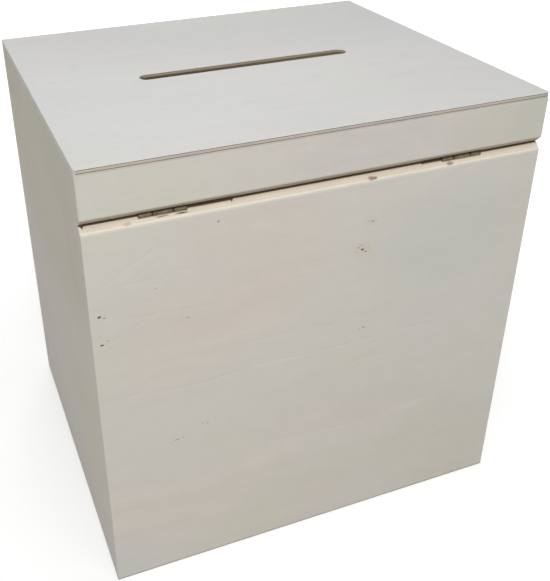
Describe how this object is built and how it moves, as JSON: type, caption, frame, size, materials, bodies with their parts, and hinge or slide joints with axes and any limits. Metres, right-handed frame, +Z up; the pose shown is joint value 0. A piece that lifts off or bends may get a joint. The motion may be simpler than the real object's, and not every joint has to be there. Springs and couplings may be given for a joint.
{
  "type": "lockable envelope box",
  "caption": "Plywood box with a hinged lid and a slot in its top for envelopes; a key turns a cam lock in the front wall that hooks a strike under the lid.",
  "frame": {"origin": "middle of the base, on the surface that the box stands on", "axes": "+Z up; -Y is the front, with the lock; +Y is the rear, with the hinges; +X is to the right seen from the front"},
  "size_m": [0.288, 0.2764, 0.3],
  "materials": {
    "plywood": "bare birch plywood, matt, faintly grey",
    "plywood_top": "bare birch plywood, matt, pale",
    "plywood_bottom": "bare birch plywood, matt",
    "aged_brass": "aged, darkened, with brighter rubbed edges",
    "nickel": "nickel plate, polished, lightly worn",
    "zinc_steel": "zinc plated, satin"
  },
  "bodies": {
    "box": {"front_wall": "plywood", "right_wall": "plywood", "rear_wall": "plywood", "left_wall": "plywood", "bottom_panel": "plywood_bottom", "right_hinge_body_leaf": "aged_brass", "right_hinge_body_leaf_screw_1": "aged_brass", "right_hinge_body_leaf_screw_2": "aged_brass", "right_hinge_pin": "aged_brass", "left_hinge_body_leaf": "aged_brass", "left_hinge_body_leaf_screw_1": "aged_brass", "left_hinge_body_leaf_screw_2": "aged_brass", "left_hinge_pin": "aged_brass", "lock_housing": "nickel", "lock_nut": "zinc_steel"},
    "lid": {"top_panel": "plywood_top", "front_rail": "plywood", "right_rail": "plywood", "rear_rail": "plywood", "left_rail": "plywood", "right_hinge_lid_leaf": "aged_brass", "right_hinge_lid_leaf_screw_1": "aged_brass", "right_hinge_lid_leaf_screw_2": "aged_brass", "left_hinge_lid_leaf": "aged_brass", "left_hinge_lid_leaf_screw_1": "aged_brass", "left_hinge_lid_leaf_screw_2": "aged_brass", "strike": "aged_brass", "strike_screw_1": "aged_brass", "strike_screw_2": "aged_brass"},
    "lock": {"lock_plug": "nickel", "lock_cam": "zinc_steel", "cam_screw": "zinc_steel"},
    "key": {"key": "nickel"}
  },
  "joints": [
    {"name": "lid_hinge", "type": "hinge", "parent": "box", "child": "lid", "pos_m": [0, 0.1204, 0.26665], "axis": [-1, 0, 0], "range_deg": [0, 95]},
    {"name": "lock_turn", "type": "hinge", "parent": "box", "child": "lock", "pos_m": [0, -0.1261, 0.242], "axis": [0, 1, 0], "range_deg": [0, 180]},
    {"name": "key_slide", "type": "slide", "parent": "lock", "child": "key", "axis": [0, -1, 0], "range_m": [0, 0.02]}
  ]
}
